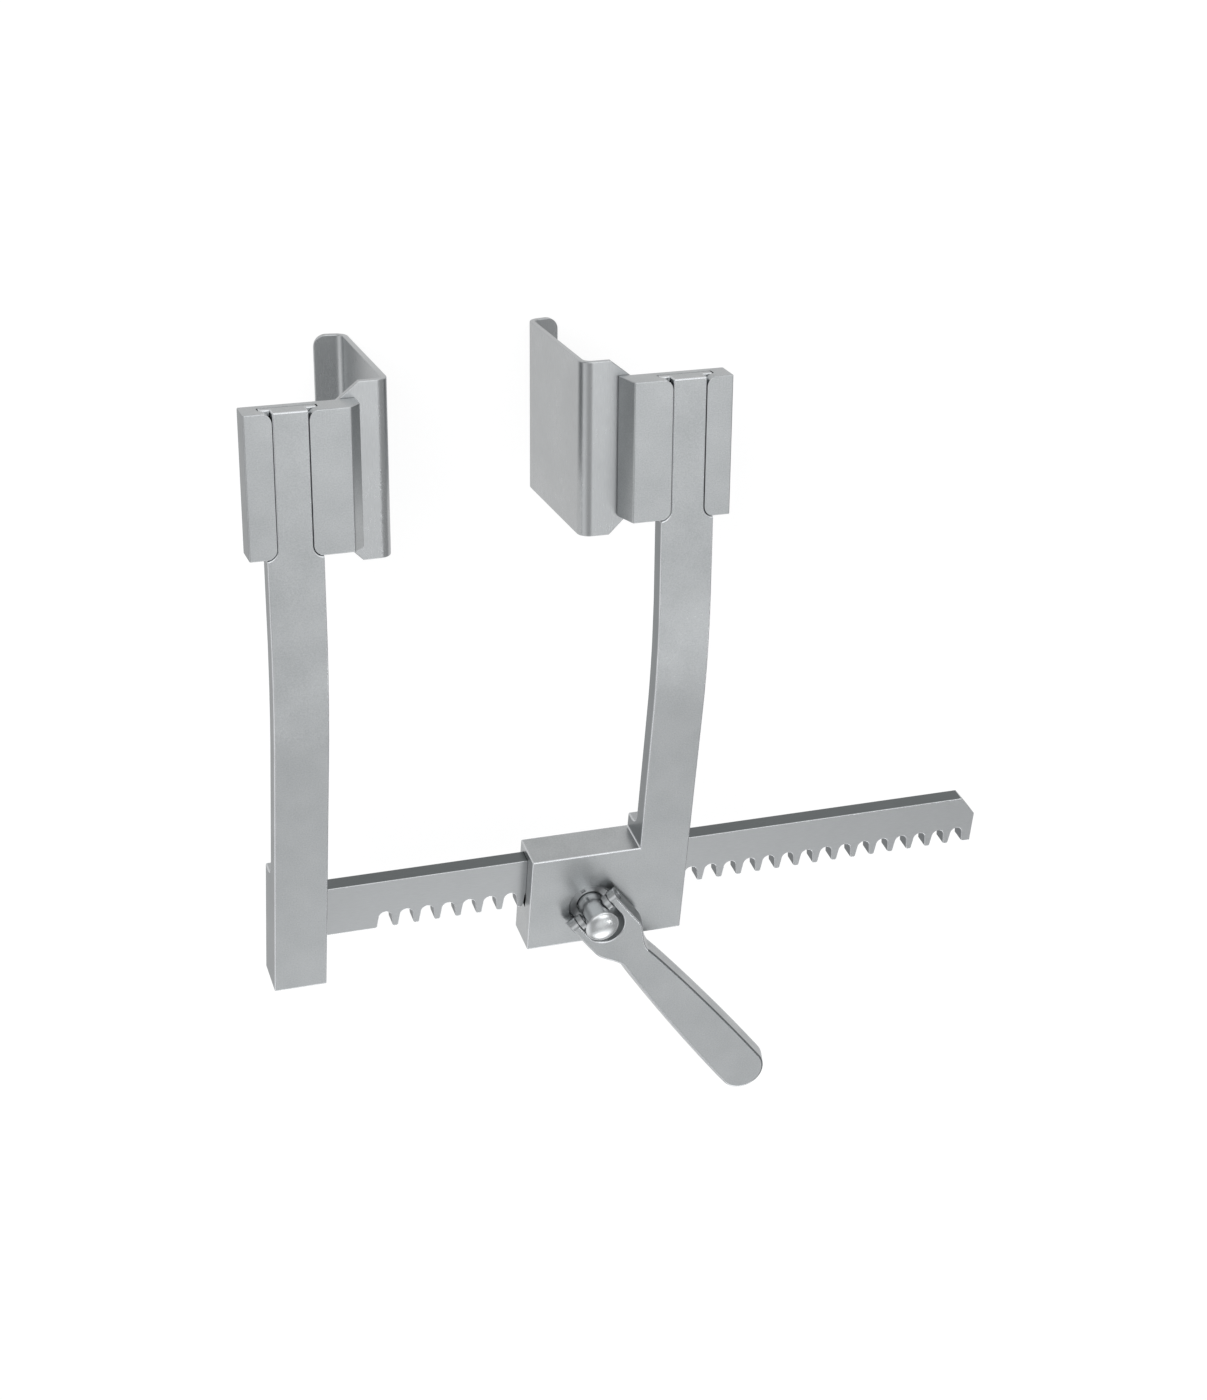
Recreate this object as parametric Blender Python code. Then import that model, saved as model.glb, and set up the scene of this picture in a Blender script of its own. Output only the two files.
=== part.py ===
"""Rib spreader: toothed bar, fixed arm, sliding arm with crank, two lift-off blades.

Datum before the frame shift: x = 0 on the fixed arm's middle, y = 0 on the
tips of the bar's teeth, z = 0 on the front faces of the two arms.
X runs along the toothed bar, Y along the arms towards the blades, Z up to the crank.
"""
import math

import bmesh
import bpy
from mathutils import Matrix, Vector

MM = 0.001
GAP = 0.3 * MM

# Where the datum lies in the shared frame: bottom centre of the whole object.
FRAME_SHIFT = Vector((-125.55 * MM, -59.02 * MM, 91.13 * MM))

# Toothed bar.
MODULE = 2.5 * MM
PITCH = math.pi * MODULE
BAR_HEIGHT = 20.7 * MM
BAR_THICK = 6.0 * MM
BAR_FRONT_Z = -6.0 * MM
BAR_LEFT_X = -3.7 * MM
BAR_RIGHT_X = 266.5 * MM
BAR_NOSE_X = 6.5 * MM
BAR_NOSE_Y = 8.0 * MM
TOOTH_DEPTH = 6.8 * MM
FIRST_TOOTH_X = 36.16 * MM
TOOTH_COUNT = 30
GULLET_MOUTH = 2.9 * MM
GULLET_TOP = 2.4 * MM

# Arms.
ARM_WIDTH = 19.0 * MM
ARM_THICK = 6.6 * MM
BASE_THICK = 15.1 * MM
BASE_BOTTOM_Y = -17.3 * MM
STEP_Y = 29.5 * MM
STEP_FILLET = 5.0 * MM
BEND_Y = 105.8 * MM
BEND_HALF = 26.0 * MM
BEND_DEG = 10.8
SLIDE_ARM_X = 135.8 * MM

# Box of the sliding arm.
BOX_LEFT_X = 85.1 * MM
BOX_BOTTOM_Y = -16.0 * MM
BOX_TOP_Y = 23.9 * MM

# Blade holder and the arm's T-shaped head; heights run along the tilted arm.
HOLDER_LOW = 50.7 * MM
HOLDER_HIGH = 100.0 * MM
HOLDER_OUTER = 15.4 * MM
HOLDER_INNER = 19.8 * MM
HOLDER_THICK = 9.9 * MM
TAB_THICK = 3.9 * MM
STEM_WIDTH = 11.9 * MM
TAB_CORNER = 3.6 * MM
HOLDER_CHAMFER = 0.8 * MM

# Blades, formed from one sheet each.
SHEET = 2.0 * MM
BLADE_LOW = 43.9 * MM
BLADE_HIGH = 105.3 * MM
BLADE_REACH = 15.3 * MM
BLADE_BACK = -72.0 * MM
BLADE_BEND = 4.5 * MM
LIP_TURN_DEG = 80.0
LIP_LENGTH = 7.6 * MM
LIP_CORNER = 4.5 * MM
SHEET_EASE = 0.45 * MM
TAIL_START = 2.0 * MM
FLARE_START = 16.8 * MM
FLARE_END = 24.8 * MM

# Crank: the spindle carries two pins that work in the gullets of the bar.
AXIS_PHASE_DEG = 45.0
AXIS_TOOTH = 10
AXIS_Y = 1.0 * MM
PIN_CIRCLE = 3.75 * MM
DRIVE_PIN = 1.25 * MM
DISC_RADIUS = 6.0 * MM
SPINDLE_RADIUS = 4.7 * MM
CAP_RADIUS = 6.3 * MM
CAP_Z = 13.2 * MM
CAP_DOME = 1.9 * MM
BUSH_RADIUS = 8.2 * MM
BUSH_THICK = 2.2 * MM
BUSH_RECESS = 0.9 * MM
BUSH_SLOT = 1.8 * MM

# Lever, folding on a cross pin through the spindle.
LEVER_TURN_DEG = 37.9
LEVER_LEAN_DEG = 4.8
LEVER_Z = 4.6 * MM
LEVER_THICK = 6.0 * MM
LEVER_LENGTH = 112.0 * MM
LEVER_NECK = 6.9 * MM
LEVER_NECK_Y = -27.0 * MM
LEVER_END = 10.0 * MM
LEVER_DRAFT = 1.4 * MM
FORK_WIDTH = 23.0 * MM
FORK_SLOT = 14.6 * MM
FORK_DEPTH = 13.0 * MM
FORK_TIP = 3.2 * MM
CROSS_PIN = 1.5 * MM
SPACER_RADIUS = 2.9 * MM

# Fastenings.
SCREW_HEAD = 2.8 * MM
SCREW_SHANK = 1.5 * MM
SCREW_CONE = 1.3 * MM
FINE = 12

AXIS_X = FIRST_TOOTH_X + (AXIS_TOOTH - 1) * PITCH + PITCH * AXIS_PHASE_DEG / 180.0
AXIS = Vector((AXIS_X, AXIS_Y, 0.0))
BEND = math.radians(BEND_DEG)
BEND_RADIUS = BEND_HALF / math.tan(BEND / 2.0)
BAR_BACK_Z = BAR_FRONT_Z - BAR_THICK
DISC_FRONT_Z = -BUSH_RECESS - BUSH_THICK - GAP
SLOT_BACK = TAB_THICK + (ARM_THICK - TAB_THICK) + GAP


def clear_scene():
    for item in list(bpy.data.objects):
        bpy.data.objects.remove(item, do_unlink=True)


def steel(name, colour, roughness):
    """Stainless steel as one Principled material."""
    material = bpy.data.materials.new(name)
    material.use_nodes = True
    shader = material.node_tree.nodes["Principled BSDF"]
    shader.inputs["Base Color"].default_value = (*colour, 1.0)
    shader.inputs["Roughness"].default_value = roughness
    shader.inputs["Metallic"].default_value = 1.0
    return material


def finish_mesh(bm, name):
    bmesh.ops.remove_doubles(bm, verts=bm.verts, dist=1e-6)
    bmesh.ops.recalc_face_normals(bm, faces=bm.faces)
    mesh = bpy.data.meshes.new(name)
    bm.to_mesh(mesh)
    bm.free()
    return mesh


def place(name, bm, origin=(0, 0, 0), turn=None):
    """Object whose mesh is given in its own axes, set at origin in the datum."""
    obj = bpy.data.objects.new(name, finish_mesh(bm, name))
    bpy.context.scene.collection.objects.link(obj)
    obj.location = FRAME_SHIFT + Vector(origin)
    if turn is not None:
        obj.rotation_euler = turn
    return obj


def prism(outline, low, high, axis="Z"):
    """Outline drawn in a plane and extruded along the axis from low to high."""
    bm = bmesh.new()
    to_3d = {
        "Z": lambda a, b: (a, b, low),
        "X": lambda a, b: (low, a, b),
        "Y": lambda a, b: (a, low, b),
    }[axis]
    along = {"Z": (0, 0, 1), "X": (1, 0, 0), "Y": (0, 1, 0)}[axis]
    face = bm.faces.new([bm.verts.new(to_3d(a, b)) for a, b in outline])
    made = bmesh.ops.extrude_face_region(bm, geom=[face])
    moved = [item for item in made["geom"] if isinstance(item, bmesh.types.BMVert)]
    bmesh.ops.translate(bm, verts=moved, vec=Vector(along) * (high - low))
    return bm


def revolve(profile, axis="Z", steps=48):
    """Profile of (radius, height) points spun about the axis; ends lie on it or close."""
    bm = bmesh.new()
    verts = [bm.verts.new((radius, 0.0, height)) for radius, height in profile]
    edges = [bm.edges.new(pair) for pair in zip(verts, verts[1:])]
    if profile[0][0] > 0.0:
        edges.append(bm.edges.new((verts[-1], verts[0])))
    bmesh.ops.spin(
        bm,
        geom=verts + edges,
        cent=(0, 0, 0),
        axis=(0, 0, 1),
        angle=2 * math.pi,
        steps=steps,
        use_merge=True,
    )
    if axis == "X":
        bm.transform(Matrix.Rotation(math.pi / 2, 4, "Y"))
    return bm


def rod(radius, low, high, steps=32):
    return revolve([(0, low), (radius, low), (radius, high), (0, high)], steps=steps)


def block(low, high):
    outline = [(low[0], low[1]), (high[0], low[1]), (high[0], high[1]), (low[0], high[1])]
    return prism(outline, low[2], high[2])


def arc(centre, radius, start_deg, end_deg, steps=FINE):
    points = []
    for k in range(steps + 1):
        angle = math.radians(start_deg + (end_deg - start_deg) * k / steps)
        points.append((centre[0] + radius * math.cos(angle), centre[1] + radius * math.sin(angle)))
    return points


def bake(obj):
    """Turns the object's modifiers into its mesh."""
    graph = bpy.context.evaluated_depsgraph_get()
    mesh = bpy.data.meshes.new_from_object(obj.evaluated_get(graph))
    obj.modifiers.clear()
    obj.data = mesh


def combine(obj, bm, operation, origin=(0, 0, 0), turn=None):
    """Boolean with a solid given in its own axes, which is used up."""
    tool = place("tool", bm, origin, turn)
    step = obj.modifiers.new(operation, "BOOLEAN")
    step.operation = operation
    step.solver = "EXACT"
    step.object = tool
    bpy.context.view_layer.update()
    bake(obj)
    bpy.data.objects.remove(tool, do_unlink=True)


def tidy(obj):
    """Joins faces that lie in one plane, so that bevels run clean."""
    bm = bmesh.new()
    bm.from_mesh(obj.data)
    bmesh.ops.remove_doubles(bm, verts=bm.verts, dist=2e-6)
    bmesh.ops.dissolve_limit(bm, angle_limit=math.radians(0.5), verts=bm.verts, edges=bm.edges)
    bm.to_mesh(obj.data)
    bm.free()


def bevel(obj, width, segments=2, angle_deg=40.0):
    step = obj.modifiers.new("bevel", "BEVEL")
    step.width = width
    step.segments = segments
    step.limit_method = "ANGLE"
    step.angle_limit = math.radians(angle_deg)
    bpy.context.view_layer.update()
    bake(obj)


def round_long_edges(obj, width):
    """Rounds the edges of the back and the nose, and leaves the toothed side crisp."""
    bm = bmesh.new()
    bm.from_mesh(obj.data)
    picked = []
    for edge in bm.edges:
        middle = (edge.verts[0].co + edge.verts[1].co) / 2
        if middle.y > TOOTH_DEPTH and edge.calc_face_angle(0.0) > math.radians(40.0):
            picked.append(edge)
    bmesh.ops.bevel(bm, geom=picked, offset=width, segments=2, profile=0.5, affect="EDGES")
    bm.to_mesh(obj.data)
    bm.free()


def dress(obj, material, smooth_deg=50.0):
    obj.data.materials.clear()
    obj.data.materials.append(material)
    obj.data.shade_smooth()
    obj.data.set_sharp_from_angle(angle=math.radians(smooth_deg))


def arm_side(base_bottom):
    """Side outline (y, z) of an arm: thick base, filleted step, backward bend, head."""
    start = BEND_Y - BEND_HALF
    front = [(base_bottom, 0.0)]
    back = []
    for k in range(FINE + 1):
        angle = BEND * k / FINE
        inner = BEND_RADIUS - ARM_THICK
        front.append((start + BEND_RADIUS * math.sin(angle), BEND_RADIUS * (math.cos(angle) - 1)))
        back.append((start + inner * math.sin(angle), inner * math.cos(angle) - BEND_RADIUS))
    front.append(on_head(HOLDER_HIGH, 0.0))
    back.append(on_head(HOLDER_HIGH, -ARM_THICK))
    fillet = arc((STEP_Y + STEP_FILLET, -ARM_THICK - STEP_FILLET), STEP_FILLET, 90.0, 180.0)
    base = [(STEP_Y, -BASE_THICK), (base_bottom, -BASE_THICK)]
    return front + back[::-1] + fillet + base


def on_head(height, depth):
    """Point (y, z) at a height along the tilted head and a depth across it."""
    y = BEND_Y + height * math.cos(BEND) + depth * math.sin(BEND)
    return y, depth * math.cos(BEND) - height * math.sin(BEND)


def cut_head(arm, centre_x):
    """Takes both front flanks off the head, which leaves a stem on a wider back plate."""
    low = HOLDER_LOW - GAP
    stem = STEM_WIDTH / 2
    radius = TAB_CORNER + GAP
    for side in (-1, 1):
        corner = arc((stem + radius, low + radius), radius, 180.0, 270.0)
        outline = [(ARM_WIDTH, HOLDER_HIGH + MM), (stem, HOLDER_HIGH + MM), *corner, (ARM_WIDTH, low)]
        bm = prism([(side * a, b) for a, b in outline], -TAB_THICK - GAP, 2 * MM)
        combine(arm, bm, "DIFFERENCE", (centre_x, BEND_Y, 0.0), (-BEND, 0, 0))


def screw_solid(length):
    """Countersunk screw whose head is at z = 0 and whose shank runs up the Z axis."""
    edge = 0.3 * MM
    return revolve(
        [
            (0, 0),
            (SCREW_HEAD, 0),
            (SCREW_HEAD, edge),
            (SCREW_SHANK, edge + SCREW_CONE),
            (SCREW_SHANK, length - edge),
            (SCREW_SHANK - edge, length),
            (0, length),
        ],
        steps=16,
    )


def screw_hole(length):
    """Hole for screw_solid, a gap wider and longer."""
    play = GAP * 0.7
    edge = 0.3 * MM
    return revolve(
        [
            (0, -MM),
            (SCREW_HEAD + play, -MM),
            (SCREW_HEAD + play, edge + play),
            (SCREW_SHANK + play, edge + play + SCREW_CONE),
            (SCREW_SHANK + play, length + GAP),
            (0, length + GAP),
        ],
        steps=16,
    )


def make_screw(name, length, origin, turn, material):
    screw = place(name, screw_solid(length), origin, turn)
    slot = block((-SCREW_HEAD - MM, -0.35 * MM, -MM), (SCREW_HEAD + MM, 0.35 * MM, 0.7 * MM))
    combine(screw, slot, "DIFFERENCE", origin, turn)
    dress(screw, material)
    return screw


def bar_outline():
    """Outline (x, y) of the toothed bar: straight back, arched gullets below."""
    ease = 0.4 * MM
    points = [(BAR_LEFT_X, 0.0)]
    for k in range(TOOTH_COUNT):
        middle = FIRST_TOOTH_X + (k - 0.5) * PITCH
        points.append((middle - GULLET_MOUTH - ease, 0.0))
        points.append((middle - GULLET_MOUTH, ease))
        points += arc((middle, TOOTH_DEPTH - GULLET_TOP), GULLET_TOP, 180.0, 0.0, 10)
        points.append((middle + GULLET_MOUTH, ease))
        points.append((middle + GULLET_MOUTH + ease, 0.0))
    points += [
        (BAR_RIGHT_X, 0.0),
        (BAR_RIGHT_X, BAR_HEIGHT - BAR_NOSE_Y),
        (BAR_RIGHT_X - BAR_NOSE_X, BAR_HEIGHT),
        (BAR_LEFT_X, BAR_HEIGHT),
    ]
    return points


def bar_screw_spots():
    return [Vector((2.6 * MM, BAR_HEIGHT * share, -BASE_THICK)) for share in (0.27, 0.73)]


BAR_SCREW_LENGTH = BASE_THICK - (-BAR_BACK_Z) + 3.6 * MM


def make_bar(material):
    bar = place("rack_bar", prism(bar_outline(), BAR_BACK_Z, BAR_FRONT_Z))
    round_long_edges(bar, 0.4 * MM)
    for spot in bar_screw_spots():
        combine(bar, screw_hole(BAR_SCREW_LENGTH), "DIFFERENCE", spot)
    dress(bar, material)
    return bar


def bar_channel(left, right):
    """Room for the bar with the running gap all round."""
    return block(
        (left, -GAP, BAR_BACK_Z - GAP),
        (right, BAR_HEIGHT + GAP, BAR_FRONT_Z + GAP),
    )


def make_fixed_arm(material):
    half = ARM_WIDTH / 2
    arm = place("fixed_arm", prism(arm_side(BASE_BOTTOM_Y), -half, half, "X"))
    cut_head(arm, 0.0)
    tidy(arm)
    bevel(arm, 0.5 * MM)
    combine(arm, bar_channel(BAR_LEFT_X - GAP, half + MM), "DIFFERENCE")
    for spot in bar_screw_spots():
        combine(arm, screw_hole(BAR_SCREW_LENGTH), "DIFFERENCE", spot)
    dress(arm, material)
    return arm


def make_sliding_arm(material):
    half = ARM_WIDTH / 2
    origin = AXIS
    side = prism(arm_side(BOX_BOTTOM_Y), SLIDE_ARM_X - half, SLIDE_ARM_X + half, "X")
    bmesh.ops.translate(side, verts=side.verts, vec=-origin)
    arm = place("sliding_arm", side, origin)
    box = block((BOX_LEFT_X, BOX_BOTTOM_Y, -BASE_THICK), (SLIDE_ARM_X - 2 * MM, BOX_TOP_Y, 0.0))
    combine(arm, box, "UNION")
    cut_head(arm, SLIDE_ARM_X)
    tidy(arm)
    bevel(arm, 0.5 * MM)
    combine(arm, bar_channel(BOX_LEFT_X - MM, SLIDE_ARM_X + half + MM), "DIFFERENCE")
    chamber = rod(DISC_RADIUS + GAP, -BASE_THICK - MM, -BUSH_RECESS - BUSH_THICK - GAP / 2, 40)
    combine(arm, chamber, "DIFFERENCE", AXIS)
    seat = rod(BUSH_RADIUS + GAP, -BUSH_RECESS - BUSH_THICK - GAP, MM, 40)
    combine(arm, seat, "DIFFERENCE", AXIS)
    dress(arm, material)
    return arm


def cross_bore(reach):
    """Hole for the cross pin, along X."""
    radius = CROSS_PIN + GAP
    return revolve([(0, -reach), (radius, -reach), (radius, reach), (0, reach)], axis="X", steps=24)


def make_spindle(material):
    """Disc behind, shaft, and a wider oval cap in front, turned from one piece."""
    back = BAR_FRONT_Z + GAP
    profile = [(0, back), (DISC_RADIUS, back), (DISC_RADIUS, DISC_FRONT_Z), (SPINDLE_RADIUS, DISC_FRONT_Z)]
    meet = -math.acos(SPINDLE_RADIUS / CAP_RADIUS)
    for k in range(FINE + 1):
        angle = meet + (math.pi / 2 - meet) * k / FINE
        profile.append((CAP_RADIUS * math.cos(angle), CAP_Z + CAP_DOME * math.sin(angle)))
    profile[-1] = (0.0, CAP_Z + CAP_DOME)
    turn = (0, 0, math.radians(LEVER_TURN_DEG))
    spindle = place("crank_spindle", revolve(profile, steps=36), AXIS, turn)
    combine(spindle, cross_bore(2 * CAP_RADIUS), "DIFFERENCE", AXIS + Vector((0, 0, LEVER_Z)), turn)
    for spot in drive_pin_spots():
        hole = rod(DRIVE_PIN + GAP / 2, back - MM, DISC_FRONT_Z - 0.6 * MM, 20)
        combine(spindle, hole, "DIFFERENCE", spot)
    dress(spindle, material)
    return spindle


def drive_pin_spots():
    spots = []
    for start in (0.0, 180.0):
        angle = math.radians(AXIS_PHASE_DEG + start)
        spots.append(AXIS + PIN_CIRCLE * Vector((math.cos(angle), math.sin(angle), 0.0)))
    return spots


def make_drive_pins(material):
    back = BAR_BACK_Z - GAP - 1.4 * MM
    front = DISC_FRONT_Z - 0.9 * MM
    ease = 0.25 * MM
    for name, spot in zip(("drive_pin_a", "drive_pin_b"), drive_pin_spots()):
        profile = [(0, back), (DRIVE_PIN - ease, back), (DRIVE_PIN, back + ease)]
        profile += [(DRIVE_PIN, front - ease), (DRIVE_PIN - ease, front), (0, front)]
        bm = revolve(profile, steps=20)
        bmesh.ops.translate(bm, verts=bm.verts, vec=spot - AXIS)
        dress(place(name, bm, AXIS), material)


def make_rear_cheek(material):
    front = BAR_BACK_Z - GAP
    back = -BASE_THICK + 0.2 * MM
    ease = 0.3 * MM
    profile = [(0, back), (DISC_RADIUS - ease, back), (DISC_RADIUS, back + ease)]
    profile += [(DISC_RADIUS, front), (0, front)]
    cheek = place("rear_cheek", revolve(profile, steps=36), AXIS)
    for spot in drive_pin_spots():
        hole = rod(DRIVE_PIN + GAP / 2, front - 1.7 * MM, front + MM, 20)
        combine(cheek, hole, "DIFFERENCE", spot)
    dress(cheek, material)


def make_bush(material):
    back = -BUSH_RECESS - BUSH_THICK
    inner = SPINDLE_RADIUS + GAP
    ease = 0.4 * MM
    front = -BUSH_RECESS
    profile = [(inner, back), (BUSH_RADIUS, back), (BUSH_RADIUS, front - ease)]
    profile += [(BUSH_RADIUS - ease, front), (inner + ease, front), (inner, front - ease)]
    bush = place("spindle_bush", revolve(profile, steps=40), AXIS)
    half, outer = BUSH_SLOT / 2, BUSH_RADIUS - 0.6 * MM
    for turn_deg in (118.0, 298.0):
        slot = block((inner + MM, -half, front - MM), (outer, half, MM))
        combine(bush, slot, "DIFFERENCE", AXIS, (0, 0, math.radians(turn_deg)))
    dress(bush, material)


def lever_outline(draft):
    """Outline (x, y) of the lever, narrowed by the draft; the cross pin is at the origin."""
    outer = FORK_WIDTH / 2 - draft
    slot = FORK_SLOT / 2
    neck = LEVER_NECK - draft
    end = LEVER_END - draft
    end_y = -LEVER_LENGTH + LEVER_END
    right = [(slot, FORK_TIP), (outer, FORK_TIP)]
    shoulder_y = -FORK_DEPTH - 0.5 * MM
    for k in range(FINE + 1):
        share = k / FINE
        ease = (1 - math.cos(math.pi * share)) / 2
        right.append((outer + (neck - outer) * ease, shoulder_y + (LEVER_NECK_Y - shoulder_y) * share))
    for k in range(1, 9):
        share = k / 8
        ease = math.sin(math.pi * share / 2) ** 0.8
        right.append((neck + (end - neck) * ease, LEVER_NECK_Y + (end_y - LEVER_NECK_Y) * share))
    tip = arc((0.0, end_y), end, 0.0, -180.0, 20)[1:-1]
    left = [(-a, b) for a, b in right[::-1]]
    bottom = arc((0.0, -FORK_DEPTH + slot), slot, 180.0, 360.0, 20)
    return right + tip + left + bottom


def make_lever(material):
    """Forging that is wider behind than in front, with half-round tips on its fork."""
    turn = (math.radians(-LEVER_LEAN_DEG), 0, math.radians(LEVER_TURN_DEG))
    spot = AXIS + Vector((0, 0, LEVER_Z))
    half = LEVER_THICK / 2
    bm = bmesh.new()
    back = [bm.verts.new((a, b, -half)) for a, b in lever_outline(0.0)]
    front = [bm.verts.new((a, b, half)) for a, b in lever_outline(LEVER_DRAFT)]
    bm.faces.new(back)
    bm.faces.new(front)
    for k in range(len(back)):
        after = (k + 1) % len(back)
        bm.faces.new((back[k], back[after], front[after], front[k]))
    lever = place("lever", bm, spot, turn)
    bevel(lever, 0.6 * MM, 2)
    tip_y = FORK_TIP - half
    far, over = -LEVER_LENGTH - MM, half + MM
    side = arc((tip_y, 0.0), half + 0.01 * MM, -90.0, 90.0)
    side += [(tip_y, over), (far, over), (far, -over), (tip_y, -over)]
    combine(lever, prism(side, -FORK_WIDTH, FORK_WIDTH, "X"), "INTERSECT", spot, turn)
    combine(lever, cross_bore(FORK_WIDTH), "DIFFERENCE", spot, turn)
    dress(lever, material)
    return lever


def make_lever_pin(pin_material, spacer_material):
    turn = (0, 0, math.radians(LEVER_TURN_DEG))
    spot = AXIS + Vector((0, 0, LEVER_Z))
    reach = (FORK_WIDTH - LEVER_DRAFT) / 2 - 0.1 * MM
    ease = 0.3 * MM
    profile = [(0, -reach), (CROSS_PIN - ease, -reach), (CROSS_PIN, -reach + ease)]
    profile += [(CROSS_PIN, reach - ease), (CROSS_PIN - ease, reach), (0, reach)]
    dress(place("lever_pin", revolve(profile, axis="X", steps=24), spot, turn), pin_material)
    inner = SPINDLE_RADIUS + GAP
    outer = FORK_SLOT / 2 - GAP
    for name, side in (("lever_spacer_a", -1), ("lever_spacer_b", 1)):
        bore = CROSS_PIN + GAP
        ring = [(bore, inner), (SPACER_RADIUS, inner), (SPACER_RADIUS, outer), (bore, outer)]
        ring = [(radius, side * height) for radius, height in ring]
        dress(place(name, revolve(ring, axis="X", steps=24), spot, turn), spacer_material)


def make_holder(name, centre_x, side, material):
    """Block with a T-shaped slot open at both ends; side is +1 where the blade is at +X."""
    spot = (centre_x, BEND_Y, 0.0)
    turn = (-BEND, 0, 0)
    low, high = HOLDER_LOW, HOLDER_HIGH
    ends = sorted((-side * HOLDER_OUTER, side * HOLDER_INNER))
    holder = place(name, block((ends[0], low, -HOLDER_THICK), (ends[1], high, 0.0)), spot, turn)
    bevel(holder, HOLDER_CHAMFER, 2)
    stem = STEM_WIDTH / 2 + GAP
    radius = TAB_CORNER
    mouth = [(stem + radius, low - MM), (stem + radius, low)]
    mouth += arc((stem + radius, low + radius), radius, 270.0, 180.0)[1:]
    mouth += arc((stem + radius, high - radius), radius, 180.0, 90.0)
    mouth += [(stem + radius, high + MM)]
    outline = mouth + [(-a, b) for a, b in mouth[::-1]]
    combine(holder, prism(outline, -TAB_THICK - MM, MM), "DIFFERENCE", spot, turn)
    wide = ARM_WIDTH / 2 + GAP
    slot = block((-wide, low - MM, -SLOT_BACK), (wide, high + MM, -TAB_THICK))
    combine(holder, slot, "DIFFERENCE", spot, turn)
    for height in blade_screw_heights():
        place_at = head_point(centre_x + side * BLADE_SCREW_X, height, SCREW_FLOOR)
        combine(holder, screw_hole(BLADE_SCREW_LENGTH), "DIFFERENCE", place_at, turn)
    dress(holder, material)
    return holder


BLADE_SCREW_X = 14.6 * MM
BLADE_SCREW_LENGTH = 7.0 * MM
BLADE_SCREW_STEP = 28.0 * MM
SCREW_FLOOR = -HOLDER_THICK - GAP - SHEET


def blade_screw_heights():
    middle = (HOLDER_LOW + HOLDER_HIGH) / 2
    return [middle - BLADE_SCREW_STEP / 2, middle + BLADE_SCREW_STEP / 2]


def head_point(x, height, depth):
    y, z = on_head(height, depth)
    return Vector((x, y, z))


def blade_path():
    """Mid-line (x, depth, normal) of the sheet from its tail, over the wall, to the lip."""
    half = SHEET / 2
    face = HOLDER_INNER + BLADE_REACH
    depth = -HOLDER_THICK - GAP - half
    radius = BLADE_BEND - half
    corner_x = face - BLADE_BEND
    tail = (TAIL_START, TAIL_START + 0.15 * MM, TAIL_START + SHEET_EASE)
    stations = []
    for x in (*tail, FLARE_START - MM, FLARE_START, FLARE_END, FLARE_END + MM, corner_x):
        stations.append((x, depth, (0.0, 1.0)))
    for k in range(1, 9):
        angle = math.radians(90.0 - 90.0 * k / 8)
        normal = (math.cos(angle), math.sin(angle))
        stations.append((corner_x + radius * normal[0], depth - radius + radius * normal[1], normal))
    low = BLADE_BACK + BLADE_BEND
    for k in range(9):
        angle = math.radians(-LIP_TURN_DEG * k / 8)
        normal = (math.cos(angle), math.sin(angle))
        stations.append((corner_x + radius * normal[0], low + radius * normal[1], normal))
    x, deep, normal = stations[-1]
    for k in range(9):
        reach = LIP_LENGTH - LIP_CORNER * (1 - math.sin(math.radians(90.0 * k / 8)))
        stations.append((x + normal[1] * reach, deep - normal[0] * reach, normal))
    return stations


def round_over(radius, left):
    """How far a rounded corner draws an edge in where this much of the sheet is left."""
    left = min(radius, left)
    return radius - math.sqrt(radius**2 - (radius - left) ** 2)


def blade_section(x, run, total, flat):
    """Half thickness, lower and upper edge of the sheet at one station."""
    share = min(1.0, max(0.0, (x - FLARE_START) / (FLARE_END - FLARE_START))) if flat else 1.0
    low = HOLDER_LOW + MM + (BLADE_LOW - HOLDER_LOW - MM) * share
    high = HOLDER_HIGH - MM + (BLADE_HIGH - HOLDER_HIGH + MM) * share
    thinned = round_over(SHEET_EASE, min(run, total - run))
    drop = thinned + round_over(LIP_CORNER, total - run)
    return SHEET / 2 - thinned, low + drop, high - drop


def make_blade(name, centre_x, side, material):
    """Sheet of even thickness with rounded edges, lofted through the stations of its path."""
    stations = blade_path()
    travel = [0.0]
    for here, there in zip(stations, stations[1:]):
        travel.append(travel[-1] + math.hypot(there[0] - here[0], there[1] - here[1]))
    bm = bmesh.new()
    rings = []
    for (x, depth, normal), run in zip(stations, travel):
        half, low, high = blade_section(x, run, travel[-1], normal[1] > 0.99)
        inner = half - SHEET_EASE
        section = arc((-inner, high - SHEET_EASE), SHEET_EASE, 180.0, 90.0, 2)
        section += arc((inner, high - SHEET_EASE), SHEET_EASE, 90.0, 0.0, 2)
        section += arc((inner, low + SHEET_EASE), SHEET_EASE, 0.0, -90.0, 2)
        section += arc((-inner, low + SHEET_EASE), SHEET_EASE, -90.0, -180.0, 2)
        ring = []
        for across, height in section:
            spot = (side * (x + across * normal[0]), height, depth + across * normal[1])
            ring.append(bm.verts.new(spot))
        rings.append(ring)
    for here, there in zip(rings, rings[1:]):
        for k in range(len(here)):
            after = (k + 1) % len(here)
            bm.faces.new((here[k], here[after], there[after], there[k]))
    bm.faces.new(rings[0])
    bm.faces.new(rings[-1])
    turn = (-BEND, 0, 0)
    blade = place(name, bm, (centre_x, BEND_Y, 0.0), turn)
    for height in blade_screw_heights():
        place_at = head_point(centre_x + side * BLADE_SCREW_X, height, SCREW_FLOOR)
        combine(blade, screw_hole(BLADE_SCREW_LENGTH), "DIFFERENCE", place_at, turn)
    dress(blade, material)
    return blade


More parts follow.
